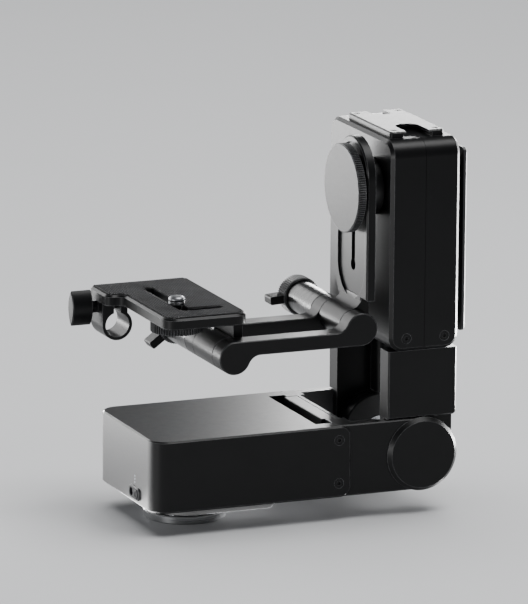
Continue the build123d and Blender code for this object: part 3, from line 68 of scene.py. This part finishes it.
# ---------------------------------------------------------------- materials
class Finish:
    """A procedural material: a Principled shader with helpers that wire textures in object space."""

    def __init__(self, name, colour, roughness, metallic=0.0, coat=0.0, specular=0.5):
        self.material = bpy.data.materials.new(name)
        self.material.use_nodes = True
        self.tree = self.material.node_tree
        self.shader = self.tree.nodes["Principled BSDF"]
        self.shader.inputs["Base Color"].default_value = (*colour, 1)
        self.shader.inputs["Roughness"].default_value = roughness
        self.shader.inputs["Metallic"].default_value = metallic
        self.shader.inputs["Coat Weight"].default_value = coat
        self.shader.inputs["Specular IOR Level"].default_value = specular
        self.colour = colour
        self.roughness = roughness
        self.coords = self.add("ShaderNodeTexCoord").outputs["Object"]
        self.normal = None

    def add(self, kind, **settings):
        node = self.tree.nodes.new(kind)
        for key, value in settings.items():
            setattr(node, key, value)
        return node

    def link(self, a, b):
        self.tree.links.new(a, b)

    def stretched(self, scale):
        mapping = self.add("ShaderNodeMapping")
        mapping.inputs["Scale"].default_value = scale
        self.link(self.coords, mapping.inputs["Vector"])
        return mapping.outputs["Vector"]

    def noise(self, scale, detail=3.0, rough=0.5, vector=None):
        node = self.add("ShaderNodeTexNoise")
        node.inputs["Scale"].default_value = scale
        node.inputs["Detail"].default_value = detail
        node.inputs["Roughness"].default_value = rough
        self.link(vector or self.coords, node.inputs["Vector"])
        return node.outputs["Fac"]

    def ramp(self, value, low, high, start=0.3, end=0.7):
        node = self.add("ShaderNodeMapRange")
        self.link(value, node.inputs["Value"])
        node.inputs["From Min"].default_value = start
        node.inputs["From Max"].default_value = end
        node.inputs["To Min"].default_value = low
        node.inputs["To Max"].default_value = high
        return node.outputs["Result"]

    def bump(self, height, strength, distance):
        node = self.add("ShaderNodeBump")
        node.inputs["Strength"].default_value = strength
        node.inputs["Distance"].default_value = distance
        self.link(height, node.inputs["Height"])
        if self.normal:
            self.link(self.normal, node.inputs["Normal"])
        self.normal = node.outputs["Normal"]
        self.link(self.normal, self.shader.inputs["Normal"])

    def edges(self, radius):
        """About 0 on flat and gently curved faces and 1 along edges."""
        bevel = self.add("ShaderNodeBevel", samples=6)
        bevel.inputs["Radius"].default_value = radius
        geometry = self.add("ShaderNodeNewGeometry")
        dot = self.add("ShaderNodeVectorMath", operation="DOT_PRODUCT")
        self.link(bevel.outputs["Normal"], dot.inputs[0])
        self.link(geometry.outputs["Normal"], dot.inputs[1])
        return self.ramp(dot.outputs["Value"], 1.0, 0.0, 0.90, 0.995)

    def away_from(self, axis, place):
        """0 within about 1 mm of a plane across this axis and 1 elsewhere."""
        split = self.add("ShaderNodeSeparateXYZ")
        self.link(self.coords, split.inputs["Vector"])
        apart = self.add("ShaderNodeMath", operation="SUBTRACT")
        self.link(split.outputs[axis], apart.inputs[0])
        apart.inputs[1].default_value = place
        size = self.add("ShaderNodeMath", operation="ABSOLUTE")
        self.link(apart.outputs["Value"], size.inputs[0])
        return self.ramp(size.outputs["Value"], 0.0, 1.0, 0.0007, 0.0012)

    def multiply(self, a, b):
        node = self.add("ShaderNodeMath", operation="MULTIPLY")
        self.link(a, node.inputs[0])
        self.link(b, node.inputs[1])
        return node.outputs["Value"]

    def paint(self, factor, other):
        """The base colour turns to the other colour where factor is 1."""
        mix = self.add("ShaderNodeMix", data_type="RGBA")
        mix.inputs["A"].default_value = (*self.colour, 1)
        socket = self.shader.inputs["Base Color"]
        if socket.is_linked:
            self.link(socket.links[0].from_socket, mix.inputs["A"])
        mix.inputs["B"].default_value = (*other, 1)
        self.link(factor, mix.inputs["Factor"])
        self.link(mix.outputs["Result"], socket)

    def vary_roughness(self, value, spread):
        result = self.ramp(value, self.roughness - spread, self.roughness + spread)
        self.link(result, self.shader.inputs["Roughness"])


def anodised(name, colour, roughness, blast=0.08, highlight=0.7, seam=None):
    """Black anodised aluminium: a bead-blasted grain, faint clouding, handling marks and a paler painted
    highlight along the edges.
    """
    f = Finish(name, colour, roughness, specular=0.2)
    clouds = f.noise(38, 4, 0.55)
    f.paint(f.ramp(clouds, 0.0, 0.5), tuple(c * 1.5 + 0.001 for c in colour))
    marks = f.noise(210, 5, 0.65, f.stretched((1.0, 1.0, 3.5)))
    f.vary_roughness(marks, 0.02)
    f.bump(f.noise(3000, 2, 0.6), blast, 0.00002)
    # A painted highlight: a paler colour along the edges, broken up by noise, standing in for lit chamfers.
    edge_highlight = f.multiply(f.edges(0.0005), f.ramp(f.noise(420, 3), 0.35, 1.0))
    if seam:
        edge_highlight = f.multiply(edge_highlight, f.away_from(*seam))
    f.paint(f.multiply(edge_highlight, f.ramp(clouds, highlight * 0.7, highlight)), (0.3, 0.305, 0.315))
    return f.material


def turned_metal(name, colour, roughness, metallic=1.0, rings=0.3, axis="X"):
    """Lathe-turned metal: fine rings about an axis through roughness and bump, and a paler painted highlight
    along the edges.
    """
    f = Finish(name, colour, roughness, metallic=metallic)
    scale = {"X": (1.0, 0.02, 0.02), "Y": (0.02, 1.0, 0.02), "Z": (0.02, 0.02, 1.0)}[axis]
    lines = f.noise(3600, 2, 0.7, f.stretched(scale))
    f.vary_roughness(f.noise(300, 4, 0.6, f.stretched(scale)), 0.07)
    f.bump(lines, rings, 0.00003)
    clouds = f.noise(55, 4)
    f.paint(f.ramp(clouds, 0.0, 0.4), tuple(min(1.0, c * 1.3 + 0.01) for c in colour))
    # A painted highlight: a paler colour along the edges, broken up by noise.
    edge_highlight = f.multiply(f.edges(0.0004), f.ramp(f.noise(500, 3), 0.3, 0.8))
    f.paint(edge_highlight, tuple(min(1.0, c * 1.8 + 0.05) for c in colour))
    return f.material


def moulded(name, colour, roughness, grain=1400, depth=0.3, coat=0.0):
    """Moulded plastic: a spark-eroded grain, slight clouding and a paler painted highlight along the edges.
    """
    f = Finish(name, colour, roughness, coat=coat)
    f.paint(f.ramp(f.noise(45, 4), 0.0, 0.5), tuple(min(1.0, c * 1.35 + 0.006) for c in colour))
    f.vary_roughness(f.noise(260, 3), 0.06)
    f.bump(f.noise(grain, 3, 0.6), depth, 0.00005)
    # A painted highlight: a paler colour along the edges, broken up by noise.
    edge_highlight = f.multiply(f.edges(0.0004), f.ramp(f.noise(350, 3), 0.2, 0.6))
    f.paint(edge_highlight, tuple(min(1.0, c * 1.7 + 0.03) for c in colour))
    return f.material


def pad_rubber(name, foot, crown):
    """Rubber painted paler towards its crowns, which rise from foot to crown: painted shade in the grip's
    valleys and a painted highlight on its crowns.
    """
    f = Finish(name, (0.003, 0.003, 0.0034), 0.6, specular=0.12)
    f.vary_roughness(f.noise(240, 4), 0.08)
    f.bump(f.noise(3800, 2, 0.6), 0.2, 0.00004)
    split = f.add("ShaderNodeSeparateXYZ")
    f.link(f.coords, split.inputs["Vector"])
    raised = f.ramp(split.outputs["Z"], 0.0, 1.0, foot, crown)
    # Painted light: the grip is painted darker in its valleys and paler on its crowns.
    f.paint(f.multiply(raised, f.ramp(f.noise(60, 4), 0.55, 1.0)), (0.09, 0.091, 0.095))
    return f.material


GRIP_PITCH = 1.5 * MM
GRIP_HEIGHT = 0.5 * MM
GRIP_MARGIN = 1.0 * MM
GRIP_TAPER = 0.5    # a crown's width over its foot's
GRIP_FILL = 0.84    # a foot's width over the pitch
PAD_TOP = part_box("plate_pad")[1].z
# Heights over which the grip's painted highlight comes in towards the crowns.
CROWN_HIGHLIGHT_FROM = PAD_TOP - 0.7 * GRIP_HEIGHT
CROWN_HIGHLIGHT_TO = PAD_TOP - 0.1 * GRIP_HEIGHT

BLACK = (0.0035, 0.0036, 0.0039)
COVER_ROUGHNESS = 0.36
LOOKS = {
    "black_anodised": anodised("black_anodised", BLACK, COVER_ROUGHNESS),
    "machined_black": turned_metal("machined_black", (0.008, 0.0082, 0.0086), 0.3, 0.1, 0.2, "Y"),
    "knurled_black": anodised("knurled_black", BLACK, 0.42, 0.08, 0.9),
    "black_steel": anodised("black_steel", (0.003, 0.003, 0.0032), 0.32, 0.05, 0.3),
    "bright_steel": turned_metal("bright_steel", (0.52, 0.53, 0.55), 0.26, 1.0, 0.3, "Z"),
    "gear_steel": turned_metal("gear_steel", (0.4, 0.41, 0.43), 0.32, 1.0, 0.3, "Z"),
    "motor_steel": turned_metal("motor_steel", (0.28, 0.29, 0.31), 0.36, 1.0, 0.3, "Z"),
    "spring_steel": turned_metal("spring_steel", (0.55, 0.55, 0.57), 0.28, 1.0, 0.2, "X"),
    "pad_rubber": pad_rubber("pad_rubber", CROWN_HIGHLIGHT_FROM, CROWN_HIGHLIGHT_TO),
    "black_plastic": moulded("black_plastic", (0.018, 0.018, 0.02), 0.42),
    "board": moulded("board", (0.02, 0.12, 0.05), 0.35, 2400, 0.2, 0.4),
    "contact_block": moulded("contact_block", (0.03, 0.03, 0.033), 0.45),
    "light_lens": moulded("light_lens", (0.62, 0.65, 0.7), 0.3, 1800, 0.15, 0.3),
}
DISC_LOOK = turned_metal("disc_metal", (0.3, 0.304, 0.31), 0.3, 1.0, 0.3, "Z")
STUD_LOOK = turned_metal("stud_steel", (0.27, 0.275, 0.285), 0.38, 1.0, 0.2, "Z")

# The painted edge highlight is left out where the covers' two halves meet.
TOWER_SEAM = (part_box("tower_left_shell")[1].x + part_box("tower_right_shell")[0].x) / 2
BASE_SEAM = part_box("base_upper_shell")[0].z
TOWER_COVER = anodised("tower_cover", BLACK, COVER_ROUGHNESS, seam=("X", TOWER_SEAM))
BASE_COVER = anodised("base_cover", BLACK, COVER_ROUGHNESS, seam=("Z", BASE_SEAM))
OWN_LOOKS = {
    "mount_disc": DISC_LOOK,
    "tower_left_shell": TOWER_COVER,
    "tower_right_shell": TOWER_COVER,
    "base_upper_shell": BASE_COVER,
    "base_lower_shell": BASE_COVER,
}

for part in frame["record"]["subparts"]:
    data = NODES[part["node"]].data
    data.materials.clear()
    data.materials.append(OWN_LOOKS.get(part["node"], LOOKS[part["material_slot"]]))


# ---------------------------------------------------------------- the pad's grip and the stud's thread
def new_piece(name, bm, look, body):
    """A mesh object made from bm, which rides on a body."""
    data = bpy.data.meshes.new(name)
    bm.to_mesh(data)
    bm.free()
    o = bpy.data.objects.new(name, data)
    bpy.context.scene.collection.objects.link(o)
    data.materials.append(look)
    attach(o, body)
    return o


def grip_pad():
    """The rubber pad with a field of small square pyramids."""
    low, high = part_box("plate_pad")
    bm = bmesh.new()
    bm.from_mesh(NODES["plate_pad"].data)
    for v in bm.verts:
        if v.co.z > high.z - 0.1 * MM:
            v.co.z = high.z - GRIP_HEIGHT
    tree = BVHTree.FromBMesh(bm)
    down = Vector((0, 0, -1))

    def on_pad(x, y):
        hit = tree.ray_cast(Vector((x, y, high.z + MM)), down)[0]
        return hit is not None and hit.z > high.z - 1.5 * GRIP_HEIGHT

    half = GRIP_PITCH * GRIP_FILL / 2
    foot_z = high.z - GRIP_HEIGHT - 0.02 * MM   # just inside the pad
    sides = ((-1, 0), (1, 0), (0, -1), (0, 1))
    corners = ((half, half), (-half, half), (-half, -half), (half, -half))
    columns = int((high.x - low.x) / GRIP_PITCH) + 1
    rows = int((high.y - low.y) / GRIP_PITCH) + 1
    for row in range(rows):
        for column in range(columns):
            x = low.x + column * GRIP_PITCH
            y = low.y + row * GRIP_PITCH
            if not all(on_pad(x + i * GRIP_MARGIN, y + j * GRIP_MARGIN) for i, j in sides):
                continue
            foot = [bm.verts.new((x + i, y + j, foot_z)) for i, j in corners]
            crown = [bm.verts.new((x + i * GRIP_TAPER, y + j * GRIP_TAPER, high.z)) for i, j in corners]
            for k in range(4):
                n = (k + 1) % 4
                bm.faces.new((foot[k], foot[n], crown[n], crown[k]))
            bm.faces.new(crown)
    o = new_piece("plate_grip", bm, LOOKS["pad_rubber"], "plate")
    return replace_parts(o, "plate_pad")


screw_low, screw_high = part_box("camera_screw")
STUD_AT = (screw_low + screw_high) / 2
STUD_ROUND = 2.2 * MM
STUD_LOW = PAD_TOP + 0.15 * MM
STUD_SHOULDER = screw_high.z + 0.02 * MM - STUD_ROUND   # just outside the screw's own dome
THREAD_ROOT = 4.62 * MM
THREAD_CREST = 4.9 * MM
THREAD_PITCH = 0.8 * MM
STUD_SIDES = 72
STEPS_PER_TURN = 10
DOME_RINGS = 10


def stud_ring(bm, z, radii):
    """One ring of vertices round the stud at a height, with a radius for each side."""
    ring = []
    for j, r in enumerate(radii):
        angle = j / STUD_SIDES * math.tau
        ring.append(bm.verts.new((STUD_AT.x + r * math.cos(angle), STUD_AT.y + r * math.sin(angle), z)))
    return ring


def thread_radius(height, side, run_out):
    """The thread's radius at a height above its start; run_out fades the ridge at both ends."""
    phase = (height / THREAD_PITCH - side / STUD_SIDES) % 1.0
    ridge = 1 - abs(2 * phase - 1)
    return THREAD_ROOT + (THREAD_CREST - THREAD_ROOT) * ridge * run_out


def threaded_stud():
    """A screw thread round the camera stud, under a domed end."""
    bm = bmesh.new()
    rings = []
    length = STUD_SHOULDER - STUD_LOW
    count = int(round(length / THREAD_PITCH * STEPS_PER_TURN))
    for i in range(count + 1):
        z = STUD_LOW + length * i / count
        run_out = min(1.0, i / STEPS_PER_TURN, (count - i) / STEPS_PER_TURN)
        rings.append(stud_ring(bm, z, [thread_radius(z - STUD_LOW, j, run_out) for j in range(STUD_SIDES)]))
    for k in range(DOME_RINGS):
        lean = k / (DOME_RINGS - 1) * math.pi / 2
        r = THREAD_CREST - STUD_ROUND * (1 - math.cos(lean))
        rings.append(stud_ring(bm, STUD_SHOULDER + STUD_ROUND * math.sin(lean), [r] * STUD_SIDES))
    for lower, upper in zip(rings, rings[1:]):
        for j in range(STUD_SIDES):
            n = (j + 1) % STUD_SIDES
            bm.faces.new((lower[j], lower[n], upper[n], upper[j]))
    bm.faces.new(rings[-1])
    bm.faces.new(list(reversed(rings[0])))
    for face in bm.faces:
        face.smooth = True
    return new_piece("stud_thread", bm, STUD_LOOK, "screw")


made = [grip_pad(), threaded_stud()]


# ---------------------------------------------------------------- stage, light and camera
floor_mesh = bpy.data.meshes.new("floor")
reach = 9   # metres each way, beyond the camera's view
corners = [(-reach, -reach, 0), (reach, -reach, 0), (reach, reach, 0), (-reach, reach, 0)]
floor_mesh.from_pydata(corners, [], [(0, 1, 2, 3)])
floor = bpy.data.objects.new("floor", floor_mesh)
floor.location.z = cad_low.z
bpy.context.scene.collection.objects.link(floor)
floor_look = Finish("floor_look", (0.62, 0.625, 0.635), 0.6)
floor_look.paint(floor_look.ramp(floor_look.noise(3, 3), 0.0, 0.3), (0.66, 0.665, 0.675))
floor_mesh.materials.append(floor_look.material)

world = bpy.data.worlds.new("studio")
bpy.context.scene.world = world
world.use_nodes = True
background = world.node_tree.nodes["Background"]
background.inputs["Color"].default_value = (0.62, 0.64, 0.67, 1)
background.inputs["Strength"].default_value = 0.22


def receivers_of(name, objects):
    """A collection of the objects that a light falls on."""
    group = bpy.data.collections.new(name)
    for o in objects:
        group.objects.link(o)
    return group


BASE_SHELLS = ("base_upper_shell", "base_lower_shell")
LOW_PIECES = (*BASE_SHELLS, "fork_frame", "pan_plateau", "hinge_cap_front")
lit = receivers_of("lit", [*NODES.values(), *made])
ground = receivers_of("ground", [floor])
base_covers = receivers_of("base_covers", [NODES[name] for name in BASE_SHELLS])
undersides = receivers_of("undersides", [NODES[name] for name in LOW_PIECES])


def softbox(name, place, target, size, power, receivers=None):
    """A soft area light, for everything or for one collection."""
    lamp = bpy.data.lights.new(name, "AREA")
    lamp.shape = "RECTANGLE"
    lamp.size, lamp.size_y = size
    lamp.energy = power
    o = bpy.data.objects.new(name, lamp)
    o.location = place
    o.rotation_euler = (Vector(target) - Vector(place)).to_track_quat("-Z", "Y").to_euler()
    o.visible_camera = False
    bpy.context.scene.collection.objects.link(o)
    if receivers:
        o.light_linking.receiver_collection = receivers


MIDDLE = (0.05, 0.0, 0.10)
softbox("left_back", (-0.32, 0.95, 0.36), MIDDLE, (1.0, 0.66), 9, lit)
softbox("left_low", (-0.34, 0.62, 0.07), (0.0, 0.0, 0.04), (0.9, 0.12), 5, lit)
softbox("base_end", (-0.28, 0.44, 0.05), (-0.04, 0.0, 0.04), (0.7, 0.09), 20, base_covers)
softbox("left_strip", (-1.4, -0.58, 0.16), MIDDLE, (0.35, 0.3), 9, lit)
softbox("right_low", (0.52, 0.14, 0.085), (0.14, -0.03, 0.14), (0.3, 0.17), 5, lit)
softbox("under", (0.05, 0.0, cad_low.z + 3 * MM), (0.05, 0.0, 1.0), (0.24, 0.07), 0.7, undersides)
softbox("right_cap", (0.42, 0.1, 0.03), (0.16, -0.04, 0.04), (0.16, 0.06), 2.5, lit)
softbox("back", (0.62, 0.78, 0.30), MIDDLE, (0.4, 0.3), 8, lit)
softbox("overhead", (0.55, -0.25, 1.7), MIDDLE, (1.1, 0.9), 26)
softbox("right_back", (1.5, 0.75, 0.45), MIDDLE, (0.5, 0.9), 12, lit)
softbox("floor_wash", (0.3, 1.2, 2.6), (0.3, 0.8, 0.0), (3.0, 3.0), 90, ground)

CAMERA_AT = (-1.36235, -3.42343, 0.98730)
CAMERA_TURN = (76.93215, -0.42609, -22.33361)   # degrees
camera = bpy.data.cameras.new("camera")
camera.lens = 375.6
camera.sensor_width = 36
camera.clip_start = 0.1
camera.clip_end = 60
camera_object = bpy.data.objects.new("camera", camera)
camera_object.location = CAMERA_AT
camera_object.rotation_euler = Euler([math.radians(angle) for angle in CAMERA_TURN])
bpy.context.scene.collection.objects.link(camera_object)
bpy.context.scene.camera = camera_object

bpy.context.view_layer.update()
